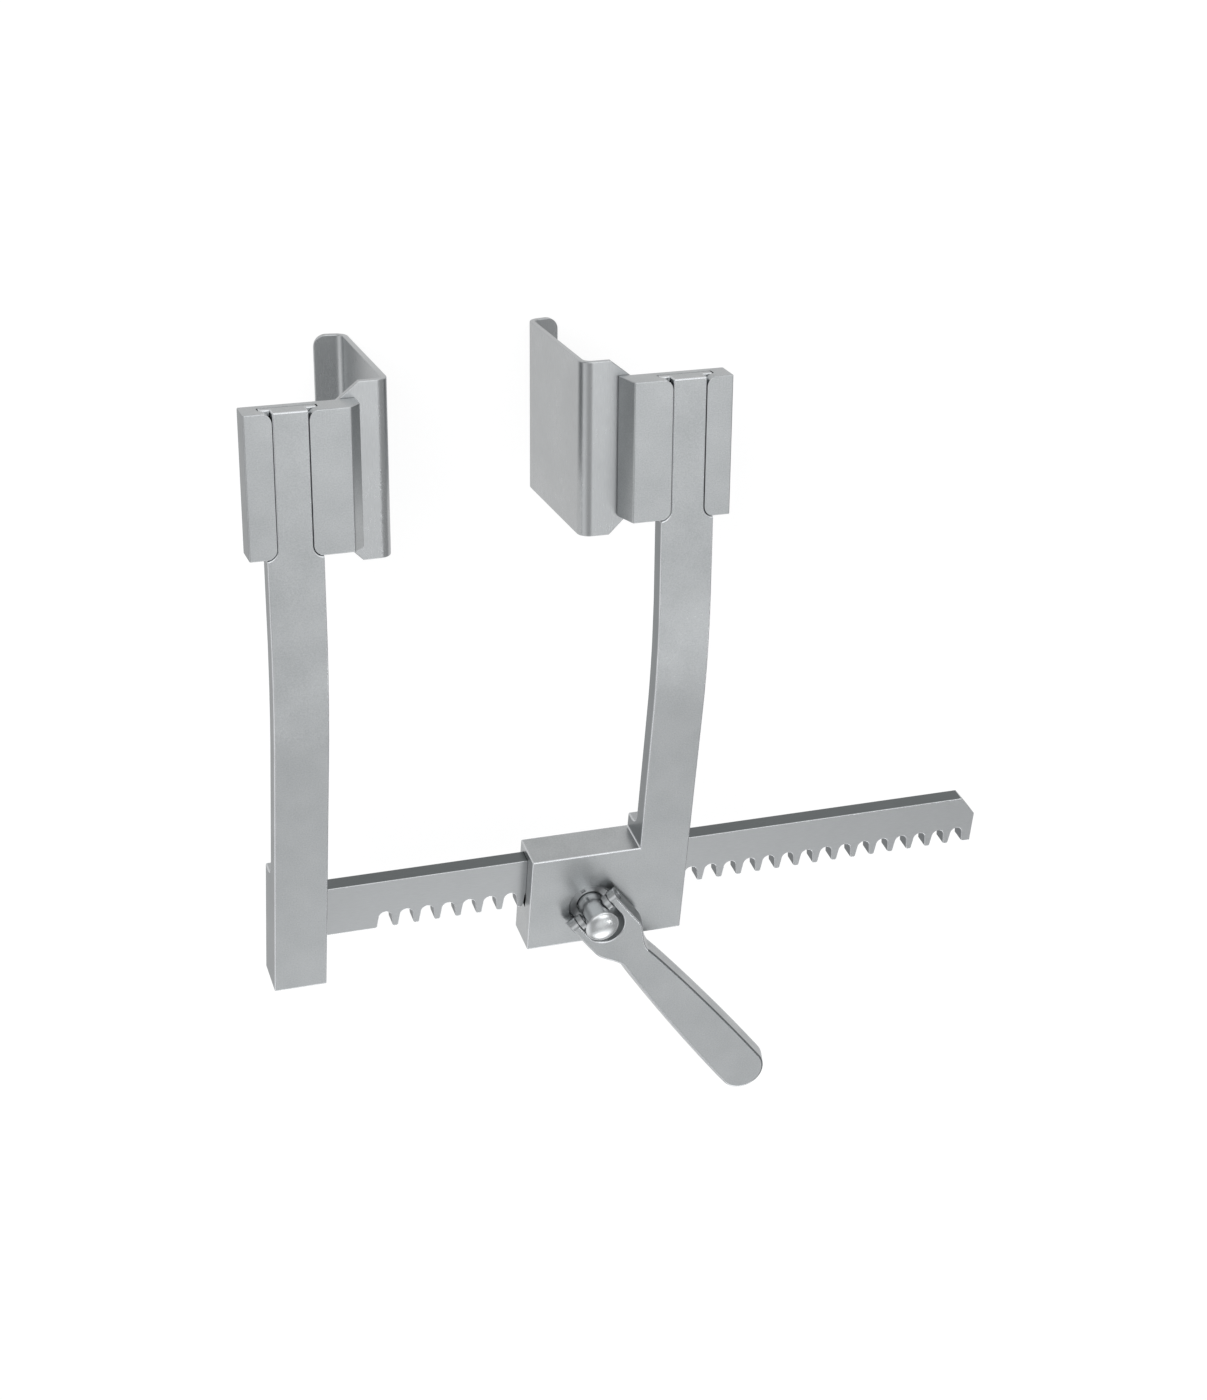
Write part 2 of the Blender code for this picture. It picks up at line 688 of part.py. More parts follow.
def make_blade_screws(hand, centre_x, side, material):
    for label, height in zip(("low", "high"), blade_screw_heights()):
        spot = head_point(centre_x + side * BLADE_SCREW_X, height, SCREW_FLOOR)
        make_screw(f"blade_screw_{hand}_{label}", BLADE_SCREW_LENGTH, spot, (-BEND, 0, 0), material)


def build():
    clear_scene()
    satin = (0.56, 0.57, 0.57)
    make_fixed_arm(steel("fixed_arm_steel", satin, 0.42))
    make_bar(steel("rack_bar_steel", (0.53, 0.54, 0.54), 0.38))
    screw_steel = steel("screw_steel", (0.50, 0.51, 0.51), 0.35)
    for label, spot in zip(("low", "high"), bar_screw_spots()):
        make_screw(f"rack_screw_{label}", BAR_SCREW_LENGTH, spot, None, screw_steel)
    make_sliding_arm(steel("sliding_arm_steel", satin, 0.42))
    make_spindle(steel("crank_spindle_steel", (0.62, 0.63, 0.63), 0.22))
    make_drive_pins(steel("drive_pin_steel", (0.45, 0.46, 0.46), 0.3))
    make_rear_cheek(steel("rear_cheek_steel", (0.50, 0.51, 0.51), 0.35))
    make_bush(steel("spindle_bush_steel", (0.60, 0.61, 0.61), 0.25))
    make_lever(steel("lever_steel", (0.58, 0.59, 0.59), 0.36))
    make_lever_pin(
        steel("lever_pin_steel", (0.45, 0.46, 0.46), 0.3),
        steel("lever_spacer_steel", (0.50, 0.51, 0.51), 0.35),
    )
    blade_steel = steel("blade_steel", (0.60, 0.61, 0.61), 0.30)
    holder_steel = steel("holder_steel", (0.55, 0.56, 0.56), 0.40)
    for hand, centre_x, side in (("left", 0.0, 1), ("right", SLIDE_ARM_X, -1)):
        make_holder(f"blade_holder_{hand}", centre_x, side, holder_steel)
        make_blade(f"blade_{hand}", centre_x, side, blade_steel)
        make_blade_screws(hand, centre_x, side, screw_steel)


build()
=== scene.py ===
"""Rib spreader in satin stainless steel, on a white table under soft studio light."""
import math

import bmesh
import bpy
from mathutils import Matrix, Vector


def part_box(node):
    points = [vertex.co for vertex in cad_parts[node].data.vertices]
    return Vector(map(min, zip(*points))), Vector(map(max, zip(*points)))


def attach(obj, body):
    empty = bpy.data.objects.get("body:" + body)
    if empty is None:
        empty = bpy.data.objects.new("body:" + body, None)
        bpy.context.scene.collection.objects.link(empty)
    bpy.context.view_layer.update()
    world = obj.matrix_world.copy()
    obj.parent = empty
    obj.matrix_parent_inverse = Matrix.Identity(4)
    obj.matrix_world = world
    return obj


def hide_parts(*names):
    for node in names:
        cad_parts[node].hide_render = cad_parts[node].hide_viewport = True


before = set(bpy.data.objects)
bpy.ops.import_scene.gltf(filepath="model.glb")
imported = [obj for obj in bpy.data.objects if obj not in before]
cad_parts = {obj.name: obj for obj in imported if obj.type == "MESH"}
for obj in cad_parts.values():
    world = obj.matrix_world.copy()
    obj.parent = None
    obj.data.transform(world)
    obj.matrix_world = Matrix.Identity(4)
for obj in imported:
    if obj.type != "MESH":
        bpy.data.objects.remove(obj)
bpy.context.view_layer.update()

MM = 0.001

# The datum of every size below: the middle of the fixed arm's width, the tips of the
# bar's teeth and the front faces of the two arms. X runs along the bar, Y along the arms.
HOME = Vector((
    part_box("fixed_arm")[0].x + 9.5 * MM,
    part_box("rack_bar")[0].y,
    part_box("fixed_arm")[1].z,
))


# Camera: above the blades' side of the instrument, at about 0.9 m.
camera = bpy.data.objects.new("camera", bpy.data.cameras.new("camera"))
camera.data.lens = 64.11
camera.data.sensor_width = 36.0
camera.data.clip_start = 0.01
CAMERA_PLACE = Vector((-155.054, 565.976, 680.212)) * MM
CAMERA_RIGHT = (0.9462248, 0.0697690, 0.3158969)
CAMERA_UP = (0.1177514, 0.8352125, -0.5371729)
CAMERA_BACK = (-0.3013190, 0.5454836, 0.7820834)
turned = Matrix((CAMERA_RIGHT, CAMERA_UP, CAMERA_BACK)).transposed().to_4x4()
turned.translation = HOME + CAMERA_PLACE
camera.matrix_world = turned
bpy.context.scene.collection.objects.link(camera)
bpy.context.scene.camera = camera
bpy.context.scene.view_settings.view_transform = "Standard"


def linear(hex_colour):
    """sRGB hex, such as "#B9BBBD", as linear red, green, blue and alpha."""
    parts = [int(hex_colour[k:k + 2], 16) / 255.0 for k in (1, 3, 5)]
    return (*[p / 12.92 if p <= 0.04045 else ((p + 0.055) / 1.055) ** 2.4 for p in parts], 1.0)


def add_node(tree, kind, sockets=None, **settings):
    """Adds one shader node, sets it up, and links the sockets that are given as outputs."""
    made = tree.nodes.new("ShaderNode" + kind)
    for name, value in settings.items():
        setattr(made, name, value)
    for name, value in (sockets or {}).items():
        if isinstance(value, bpy.types.NodeSocket):
            tree.links.new(value, made.inputs[name])
        else:
            made.inputs[name].default_value = value
    return made


# Room: a grey room with bright panels in its ceiling, a low bright wall beyond the crank and
# paler walls behind the camera, which the satin faces show as slow gradients.
world = bpy.data.worlds.new("studio_room")
bpy.context.scene.world = world
world.use_nodes = True
room = world.node_tree
room.nodes.clear()
facing = add_node(room, "TexCoord").outputs["Generated"]


def room_glow(azimuth, elevation, start, full, amount):
    """Brightness that rises from one angle to another around a direction; angles in degrees."""
    turn, lift = math.radians(azimuth), math.radians(elevation)
    spot = Vector((math.cos(lift) * math.cos(turn), math.cos(lift) * math.sin(turn), math.sin(lift)))
    along = add_node(room, "VectorMath", {0: facing, 1: spot}, operation="DOT_PRODUCT").outputs["Value"]
    rise = add_node(
        room,
        "MapRange",
        {
            "Value": along,
            "From Min": math.cos(math.radians(start)),
            "From Max": math.cos(math.radians(full)),
            "To Max": amount,
        },
        interpolation_type="SMOOTHSTEP",
    )
    return rise.outputs["Result"]


ROOM_LEVEL = 0.42
ROOM_GLOWS = (
    (40.0, 70.0, 22.5, 3.0, 1.56),  # ceiling panel over the blades, seen in the tilted heads
    (-60.0, 65.0, 18.0, 3.0, 0.55),  # ceiling beyond the crank, seen in the flat fronts
    (-70.0, 30.0, 18.0, 3.0, 1.36),  # low wall beyond the crank, seen in the arms' feet
    (-80.0, 30.0, 18.0, 3.0, 0.87),
    (-35.0, 55.0, 4.5, 2.0, 5.00),  # small lamp, the spot on the spindle's cap
    (72.0, 20.0, 34.0, 14.0, 0.95),  # walls on the camera's side
    (-140.0, 20.0, 45.0, 15.0, 0.60),
    (119.0, 51.0, 32.0, 10.0, 0.90),  # behind the camera, seen in the spindle's shaft
)
level = ROOM_LEVEL
for numbers in ROOM_GLOWS:
    level = add_node(room, "Math", {0: room_glow(*numbers), 1: level}, operation="ADD").outputs[0]
room_light = add_node(room, "Background", {"Color": linear("#FCFDFE"), "Strength": level})
seen = add_node(room, "Background", {"Color": (1.0, 1.0, 1.0, 1.0), "Strength": 1.0})
ray = add_node(room, "LightPath")
backdrop = {0: ray.outputs["Is Camera Ray"], 1: room_light.outputs[0], 2: seen.outputs[0]}
room_mix = add_node(room, "MixShader", backdrop)
add_node(room, "OutputWorld", {"Surface": room_mix.outputs[0]})


# Lamp: one large soft box above the blades, on the camera's side, for the soft shadow. The
# steel doesn't mirror it, because the room's own glows stand for all that the steel shows.
SOFT_BOX_PLACE = Vector((-0.80, 0.80, 1.20))
SOFT_BOX_AIM = Vector((0.0, 0.0, 0.05))
lamp = bpy.data.lights.new("soft_box_blades", "AREA")
lamp.shape = "SQUARE"
lamp.size = 0.7
lamp.energy = 10.0
soft_box = bpy.data.objects.new("soft_box_blades", lamp)
soft_box.location = SOFT_BOX_PLACE
soft_box.rotation_euler = (SOFT_BOX_AIM - SOFT_BOX_PLACE).to_track_quat("-Z", "Y").to_euler()
soft_box.visible_glossy = False
bpy.context.scene.collection.objects.link(soft_box)


# Table: matt white board. It is drawn nearly white by itself and keeps part of its own
# shading, so that the soft shadow of the instrument stays on it. Steel sees it less bright.
BOARD_BRIGHT = 0.87
BOARD_LESS_IN_STEEL = -0.25
bpy.ops.mesh.primitive_plane_add(size=6.0, location=(0.0, 0.0, -0.0002))
table = bpy.context.object
table.name = "table"
board = bpy.data.materials.new("matt_white_board")
board.use_nodes = True
tree = board.node_tree
tree.nodes.clear()
ray = add_node(tree, "LightPath")
direct = ray.outputs["Is Camera Ray"]
for kind in ("Is Glossy Ray", "Is Transmission Ray"):
    direct = add_node(tree, "Math", {0: direct, 1: ray.outputs[kind]}, operation="MAXIMUM").outputs[0]
paint = add_node(tree, "BsdfDiffuse", {"Color": linear("#E6E6E6")})
thin_paint = add_node(tree, "BsdfDiffuse", {"Color": (0.16, 0.16, 0.16, 1.0)})
dimmed = {0: ray.outputs["Is Glossy Ray"], 1: BOARD_LESS_IN_STEEL, 2: BOARD_BRIGHT}
brightness = add_node(tree, "Math", dimmed, operation="MULTIPLY_ADD")
glow = add_node(tree, "Emission", {"Color": (1.0, 1.0, 1.0, 1.0), "Strength": brightness.outputs[0]})
shown = add_node(tree, "AddShader", {0: thin_paint.outputs[0], 1: glow.outputs[0]})
board_mix = add_node(tree, "MixShader", {0: direct, 1: paint.outputs[0], 2: shown.outputs[0]})
add_node(tree, "OutputMaterial", {"Surface": board_mix.outputs[0]})
table.data.materials.append(board)


# Fixed arm: one forging of stainless steel, thick where it grips the bar, stepped thinner
# above it and bent back towards the blade. Its faces are ground flat and then blasted
# with fine glass beads, and its edges are broken and burnished by handling.
ROUGHNESS_SWING = 0.03
GRIT_SHARE = 0.6


def steel(name, light, dark, roughness, grit=0.35, relief=0.004, stretch=(1.0, 1.0, 1.0), clouds=14.0):
    """Stainless steel whose tone and gloss vary with a fine grit and slow clouds; lengths in mm."""
    made = bpy.data.materials.new(name)
    made.use_nodes = True
    tree = made.node_tree
    shader = tree.nodes["Principled BSDF"]
    shader.inputs["Metallic"].default_value = 1.0
    place = add_node(tree, "TexCoord").outputs["Object"]
    grain_place = add_node(tree, "Mapping", {"Vector": place, "Scale": stretch}).outputs[0]
    speckle = {"Vector": grain_place, "Scale": 1.0 / (grit * MM), "Detail": 2.0}
    fine = add_node(tree, "TexNoise", speckle).outputs[0]
    drift = {"Vector": place, "Scale": 1.0 / (clouds * MM), "Detail": 3.0}
    slow = add_node(tree, "TexNoise", drift).outputs[0]
    weighted = add_node(tree, "Math", {0: fine, 1: GRIT_SHARE}, operation="MULTIPLY").outputs[0]
    blended = {0: slow, 1: 1.0 - GRIT_SHARE, 2: weighted}
    mottle = add_node(tree, "Math", blended, operation="MULTIPLY_ADD").outputs[0]
    tone = add_node(tree, "ValToRGB", {"Fac": mottle})
    tone.color_ramp.elements[0].position = 0.32
    tone.color_ramp.elements[0].color = linear(dark)
    tone.color_ramp.elements[1].position = 0.68
    tone.color_ramp.elements[1].color = linear(light)
    tree.links.new(tone.outputs["Color"], shader.inputs["Base Color"])
    spread = add_node(
        tree,
        "MapRange",
        {
            "Value": mottle,
            "From Min": 0.3,
            "From Max": 0.7,
            "To Min": roughness + ROUGHNESS_SWING,
            "To Max": roughness - ROUGHNESS_SWING,
        },
    )
    tree.links.new(spread.outputs["Result"], shader.inputs["Roughness"])
    bump = add_node(tree, "Bump", {"Strength": 0.5, "Distance": relief * MM, "Height": fine})
    tree.links.new(bump.outputs["Normal"], shader.inputs["Normal"])
    return made


# Bead blasting gives an even satin grey with a fine speckle. Real beads leave dents of about
# 0.1 mm, and 0.5 mm is the finest that shows in the picture.
blasted_steel = steel("stainless_steel_bead_blasted", "#C6C8C9", "#B0B3B4", 0.30, grit=0.5, relief=0.0025)
# Handling burnishes the broken edges, which show as thin bright lines.
burnished_edge = steel("stainless_steel_burnished_edge", "#DCDEE0", "#D0D2D4", 0.22, relief=0.001)
# Painted reflection: a dark colour for the lever's edge strip, which draws the dark line down the handle's
# right side.
painted_dark_edge = steel("stainless_steel_edge_painted_dark", "#8E9193", "#838688", 0.24, relief=0.001)
# Milled flanks keep their cut surface; their colour, darker than the blasted fronts, is painted shade on the
# sides that look along the bar.
flank_painted_shade = steel("stainless_steel_milled_flank_painted_shade", "#8D9193", "#85898B", 0.30)


def piece_of(name, bm, at=(0, 0, 0), turn=(0, 0, 0)):
    """Object made of a mesh given in its own axes, set at a place of the datum."""
    bmesh.ops.remove_doubles(bm, verts=bm.verts, dist=1e-6)
    bmesh.ops.recalc_face_normals(bm, faces=bm.faces)
    mesh = bpy.data.meshes.new(name)
    bm.to_mesh(mesh)
    bm.free()
    made = bpy.data.objects.new(name, mesh)
    made.location = HOME + Vector(at)
    made.rotation_euler = turn
    bpy.context.scene.collection.objects.link(made)
    return made


def bar_of(outline, low, high, axis="Z"):
    """Solid of one outline, extruded along an axis."""
    bm = bmesh.new()
    spots = {
        "Z": lambda a, b: (a, b, low),
        "X": lambda a, b: (low, a, b),
        "Y": lambda a, b: (a, low, b),
    }[axis]
    along = (high - low) * Vector([float(axis == name) for name in "XYZ"])
    face = bm.faces.new([bm.verts.new(spots(a, b)) for a, b in outline])
    made = bmesh.ops.extrude_face_region(bm, geom=[face])
    moved = [item for item in made["geom"] if isinstance(item, bmesh.types.BMVert)]
    bmesh.ops.translate(bm, verts=moved, vec=along)
    return bm


def block_of(low, high):
    """Plain block between two opposite corners, used to cut and join."""
    corners = [(low[0], low[1]), (high[0], low[1]), (high[0], high[1]), (low[0], high[1])]
    return bar_of(corners, low[2], high[2])


def turned_of(profile, steps=64, along_x=False):
    """Solid turned from a profile of (radius, height) points."""
    bm = bmesh.new()
    verts = [bm.verts.new((radius, 0.0, height)) for radius, height in profile]
    edges = [bm.edges.new(pair) for pair in zip(verts, verts[1:])]
    if profile[0][0] > 0.0:
        edges.append(bm.edges.new((verts[-1], verts[0])))
    bmesh.ops.spin(
        bm, geom=verts + edges, cent=(0, 0, 0), axis=(0, 0, 1), angle=2 * math.pi, steps=steps, use_merge=True
    )
    if along_x:
        bm.transform(Matrix.Rotation(math.pi / 2, 4, "Y"))
    return bm


def arc(centre, radius, start_deg, end_deg, steps=16):
    """Points of a circular arc, both ends included."""
    points = []
    for k in range(steps + 1):
        angle = math.radians(start_deg + (end_deg - start_deg) * k / steps)
        points.append((centre[0] + radius * math.cos(angle), centre[1] + radius * math.sin(angle)))
    return points


def settle(piece):
    """Turns a piece's modifiers into its mesh."""
    bpy.context.view_layer.update()
    mesh = bpy.data.meshes.new_from_object(piece.evaluated_get(bpy.context.evaluated_depsgraph_get()))
    piece.modifiers.clear()
    piece.data = mesh


def shape_with(piece, bm, operation, at=(0, 0, 0), turn=(0, 0, 0)):
    """Cuts a piece with a solid, joins the solid to it, or keeps what both share."""
    tool = piece_of("tool", bm, at, turn)
    step = piece.modifiers.new(operation, "BOOLEAN")
    step.operation = operation
    step.solver = "EXACT"
    step.object = tool
    settle(piece)
    bpy.data.objects.remove(tool, do_unlink=True)


def break_edges(piece, width, segments=3, angle=35.0, edge_slot=1):
    """Rounds the sharp edges; the rounded strip takes the material of a slot."""
    bm = bmesh.new()
    bm.from_mesh(piece.data)
    bmesh.ops.remove_doubles(bm, verts=bm.verts, dist=2e-6)
    bmesh.ops.dissolve_limit(bm, angle_limit=math.radians(0.5), verts=bm.verts, edges=bm.edges)
    bm.to_mesh(piece.data)
    bm.free()
    step = piece.modifiers.new("broken_edges", "BEVEL")
    step.width = width
    step.segments = segments
    step.limit_method = "ANGLE"
    step.angle_limit = math.radians(angle)
    step.use_clamp_overlap = False
    step.material = edge_slot
    settle(piece)


def finish(piece, *materials):
    """Gives a piece its materials, in the order of its slots."""
    for material in materials:
        piece.data.materials.append(material)


SIDEWAYS = 0.9
EDGE_SLOT, FLANK_SLOT = 1, 2


def shade_flanks(piece, from_x=-math.inf):
    """Gives the milled finish and painted shade, a darker colour, to an arm's faces that look along the bar,
    from one place on.
    """
    for face in piece.data.polygons:
        if face.material_index == 0 and abs(face.normal.x) > SIDEWAYS and face.center.x > from_x:
            face.material_index = FLANK_SLOT


def dress(piece, sharp=32.0):
    """Shades a piece's flat faces flat and its bends smooth."""
    piece.data.shade_smooth()
    piece.data.set_sharp_from_angle(angle=math.radians(sharp))
    even = piece.modifiers.new("even_shading", "WEIGHTED_NORMAL")
    even.keep_sharp = True
    even.weight = 80


ARM_WIDTH = 19.0 * MM
ARM_THICK = 6.6 * MM
BASE_THICK = 15.1 * MM
STEP_Y = 29.5 * MM
STEP_FILLET = 5.0 * MM
BEND_Y = 105.8 * MM
BEND_HALF = 26.0 * MM
BEND = math.radians(10.8)
HEAD_LOW = 50.7 * MM
HEAD_HIGH = 100.0 * MM
HEAD_PLATE = 3.9 * MM
STEM_HALF = 5.95 * MM
STEM_CORNER = 3.6 * MM
GAP = 0.3 * MM
FIXED_ARM_LOW = -17.3 * MM
ARM_EDGE = 0.5 * MM
CUT_EDGE = 0.15 * MM


def on_head(height, depth):
    """Point (y, z) at a height along the tilted head and a depth across it."""
    y = BEND_Y + height * math.cos(BEND) + depth * math.sin(BEND)
    return y, depth * math.cos(BEND) - height * math.sin(BEND)


def arm_side(base_bottom):
    """Side outline (y, z) of an arm."""
    radius = BEND_HALF / math.tan(BEND / 2.0)
    front = [(base_bottom, 0.0)]
    back = []
    for k in range(25):
        angle = BEND * k / 24
        start = BEND_Y - BEND_HALF
        front.append((start + radius * math.sin(angle), radius * (math.cos(angle) - 1)))
        inner = radius - ARM_THICK
        back.append((start + inner * math.sin(angle), inner * math.cos(angle) - radius))
    front.append(on_head(HEAD_HIGH, 0.0))
    back.append(on_head(HEAD_HIGH, -ARM_THICK))
    fillet = arc((STEP_Y + STEP_FILLET, -ARM_THICK - STEP_FILLET), STEP_FILLET, 90.0, 180.0)
    return front + back[::-1] + fillet + [(STEP_Y, -BASE_THICK), (base_bottom, -BASE_THICK)]


def cut_head(arm, middle_x):
    """Mills both flanks of the head away from the front, so a stem stays on a wider plate."""
    low = HEAD_LOW - GAP
    radius = STEM_CORNER + GAP
    for side in (-1, 1):
        corner = arc((STEM_HALF + radius, low + radius), radius, 180.0, 270.0)
        outline = [(ARM_WIDTH, HEAD_HIGH + MM), (STEM_HALF, HEAD_HIGH + MM), *corner, (ARM_WIDTH, low)]
        flank = bar_of([(side * a, b) for a, b in outline], -HEAD_PLATE - GAP, 2 * MM)
        shape_with(arm, flank, "DIFFERENCE", (middle_x, BEND_Y, 0.0), (-BEND, 0, 0))


def bar_room(left, right):
    """Space for the toothed bar, with its running gap."""
    return block_of((left, -GAP, BAR_BACK - GAP), (right, BAR_HEIGHT + GAP, BAR_FRONT + GAP))


def seat(piece, body, slot, *nodes):
    """Fixes a piece to a body of the instrument in place of its plain solids."""
    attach(piece, body)
    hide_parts(*nodes)


BAR_HEIGHT = 20.7 * MM
BAR_FRONT = -6.0 * MM
BAR_BACK = -12.0 * MM
BAR_LEFT = -3.7 * MM
SCREW_HEAD = 2.8 * MM
SCREW_SHANK = 1.5 * MM
SCREW_CONE = 1.3 * MM
SCREW_RIM = 0.3 * MM
SCREW_PLAY = 0.7 * GAP
BAR_SCREW_BITE = 3.6 * MM
BAR_SCREW_LENGTH = BASE_THICK + BAR_BACK + BAR_SCREW_BITE
BAR_SCREW_X = 2.6 * MM
BAR_SCREW_HEIGHTS = (0.27, 0.73)
BAR_SCREW_PLACES = [(BAR_SCREW_X, BAR_HEIGHT * share, -BASE_THICK) for share in BAR_SCREW_HEIGHTS]


def screw_room(length):
    """Countersunk hole for a screw whose head is at the hole's mouth."""
    head, shank, rim = SCREW_HEAD + SCREW_PLAY, SCREW_SHANK + SCREW_PLAY, SCREW_RIM + SCREW_PLAY
    profile = [(0, -MM), (head, -MM), (head, rim), (shank, rim + SCREW_CONE)]
    profile += [(shank, length + GAP), (0, length + GAP)]
    return turned_of(profile, 48)


half = ARM_WIDTH / 2
fixed_arm = piece_of("fixed_arm_forging", bar_of(arm_side(FIXED_ARM_LOW), -half, half, "X"))
finish(fixed_arm, blasted_steel, burnished_edge, flank_painted_shade)
cut_head(fixed_arm, 0.0)
break_edges(fixed_arm, ARM_EDGE)
# Painted shade: the faces that look along the bar take the darker flank colour.
shade_flanks(fixed_arm)
shape_with(fixed_arm, bar_room(BAR_LEFT - GAP, half + MM), "DIFFERENCE")
break_edges(fixed_arm, CUT_EDGE, segments=2, angle=60.0)
for place in BAR_SCREW_PLACES:
    shape_with(fixed_arm, screw_room(BAR_SCREW_LENGTH), "DIFFERENCE", place)
dress(fixed_arm)
seat(fixed_arm, "base", "fixed_arm_steel", "fixed_arm")


# Toothed bar: cold-drawn flat stainless bar. Its two faces are ground satin, while the back
# and the milled gullets keep the drawn and cut surface, in a darker colour that is painted
# shade. It is held in the fixed arm by two screws from behind.
# Drawing leaves the back and top long faint lines, and they are coloured dark as painted shade;
# the gullets are painted darker still; grinding gives the two faces a light satin with lines along the bar.
drawn_steel_painted_shade = steel("stainless_steel_drawn_bar_painted_shade", "#747879", "#6E7273", 0.30, stretch=(0.06, 1.0, 1.0))
gullet_painted_shade = steel("stainless_steel_gullet_painted_shade", "#73777A", "#6A6E70", 0.34)
ground_steel = steel(
    "stainless_steel_ground_flat", "#BEC0C1", "#B6B8B9", 0.32, relief=0.0008, stretch=(0.12, 1.0, 1.0)
)
PITCH = math.pi * 2.5 * MM
TOOTH_DEPTH = 6.8 * MM
FIRST_TOOTH = 36.16 * MM
TOOTH_COUNT = 30
GULLET_MOUTH = 2.9 * MM
GULLET_TOP = 2.4 * MM
TOOTH_EASE = 0.4 * MM
BAR_RIGHT = 266.5 * MM
NOSE = (6.5 * MM, 8.0 * MM)
BAR_EDGE = 0.22 * MM
BACK_SLOT, GULLET_SLOT = 2, 3

outline = [(BAR_LEFT, 0.0)]
for k in range(TOOTH_COUNT):
    middle = FIRST_TOOTH + (k - 0.5) * PITCH
    outline.append((middle - GULLET_MOUTH - TOOTH_EASE, 0.0))
    outline.append((middle - GULLET_MOUTH, TOOTH_EASE))
    outline += arc((middle, TOOTH_DEPTH - GULLET_TOP), GULLET_TOP, 180.0, 0.0, 16)
    outline.append((middle + GULLET_MOUTH, TOOTH_EASE))
    outline.append((middle + GULLET_MOUTH + TOOTH_EASE, 0.0))
outline += [(BAR_RIGHT, 0.0), (BAR_RIGHT, BAR_HEIGHT - NOSE[1])]
outline += [(BAR_RIGHT - NOSE[0], BAR_HEIGHT), (BAR_LEFT, BAR_HEIGHT)]
toothed_bar = piece_of("toothed_bar", bar_of(outline, BAR_BACK, BAR_FRONT))
finish(toothed_bar, ground_steel, burnished_edge, drawn_steel_painted_shade, gullet_painted_shade)
break_edges(toothed_bar, BAR_EDGE, segments=2, angle=50.0)
# Painted shade: the bar's narrow faces take the dark colours, the gullets the darkest.
for face in toothed_bar.data.polygons:
    if face.material_index == 0 and abs(face.normal.z) < 0.5:
        face.material_index = BACK_SLOT if face.center.y > TOOTH_DEPTH else GULLET_SLOT
for place in BAR_SCREW_PLACES:
    shape_with(toothed_bar, screw_room(BAR_SCREW_LENGTH), "DIFFERENCE", place)
dress(toothed_bar)
seat(toothed_bar, "base", "rack_bar_steel", "rack_bar")


# Bar screws: two slotted countersunk screws of turned stainless steel, driven from behind
# through the fixed arm's base into the bar. Turning leaves them bright.
turned_steel = steel("stainless_steel_turned", "#BEC1C1", "#AFB2B2", 0.25)
HEAD_EASE = 0.1 * MM
DRIVER_HALF = 0.35 * MM
DRIVER_DEPTH = 0.7 * MM


def screw_of(name, length, at, turn, body, node):
    """Slotted countersunk screw, head first at its place, with its shank along Z."""
    profile = [(0, 0), (SCREW_HEAD - HEAD_EASE, 0), (SCREW_HEAD, HEAD_EASE), (SCREW_HEAD, SCREW_RIM)]
    profile += [(SCREW_SHANK, SCREW_RIM + SCREW_CONE), (SCREW_SHANK, length - SCREW_RIM)]
    profile += [(SCREW_SHANK - SCREW_RIM, length), (0, length)]
    screw = piece_of(name, turned_of(profile, 48), at, turn)
    screw.data.materials.append(turned_steel)
    past = SCREW_HEAD + MM
    slot = block_of((-past, -DRIVER_HALF, -MM), (past, DRIVER_HALF, DRIVER_DEPTH))
    shape_with(screw, slot, "DIFFERENCE", at, turn)
    dress(screw)
    seat(screw, body, "screw_steel", node)


for label, place in zip(("low", "high"), BAR_SCREW_PLACES):
    screw_of(f"bar_screw_{label}", BAR_SCREW_LENGTH, place, (0, 0, 0), "base", f"rack_screw_{label}")


# Sliding arm: forged like the fixed arm, with a box at its foot that runs on the bar. The
# box is milled through for the bar, bored from behind for the crank's disc and counterbored
# in front for the bush.
CRANK_TOOTH = 9.25
CRANK_Y = 1.0 * MM
AXIS = Vector((FIRST_TOOTH + CRANK_TOOTH * PITCH, CRANK_Y, 0.0))
SLIDE_MIDDLE = 135.8 * MM
BOX_LEFT = 85.1 * MM
BOX_LOW = -16.0 * MM
BOX_HIGH = 23.9 * MM
BOX_LAP = 2.0 * MM
DISC_RADIUS = 6.0 * MM
BUSH_RADIUS = 8.2 * MM
BUSH_THICK = 2.2 * MM
BUSH_RECESS = 0.9 * MM
side_outline = arm_side(BOX_LOW)
sliding_arm = piece_of(
    "sliding_arm_forging", bar_of(side_outline, SLIDE_MIDDLE - half, SLIDE_MIDDLE + half, "X")
)
finish(sliding_arm, blasted_steel, burnished_edge, flank_painted_shade)
box = block_of((BOX_LEFT, BOX_LOW, -BASE_THICK), (SLIDE_MIDDLE - BOX_LAP, BOX_HIGH, 0.0))
shape_with(sliding_arm, box, "UNION")
cut_head(sliding_arm, SLIDE_MIDDLE)
break_edges(sliding_arm, ARM_EDGE)
# Painted shade: the faces that look along the bar take the darker flank colour.
shade_flanks(sliding_arm, BOX_LEFT + MM)
shape_with(sliding_arm, bar_room(BOX_LEFT - MM, SLIDE_MIDDLE + half + MM), "DIFFERENCE")
bush_floor = -BUSH_RECESS - BUSH_THICK
low, wide = -BASE_THICK - MM, DISC_RADIUS + GAP
chamber = turned_of([(0, low), (wide, low), (wide, bush_floor), (0, bush_floor)])
shape_with(sliding_arm, chamber, "DIFFERENCE", AXIS)
low, wide = bush_floor - GAP, BUSH_RADIUS + GAP
counterbore = turned_of([(0, low), (wide, low), (wide, MM), (0, MM)], 96)
shape_with(sliding_arm, counterbore, "DIFFERENCE", AXIS)
break_edges(sliding_arm, CUT_EDGE, segments=2, angle=60.0)
dress(sliding_arm)
seat(sliding_arm, "carriage", "sliding_arm_steel", "sliding_arm")


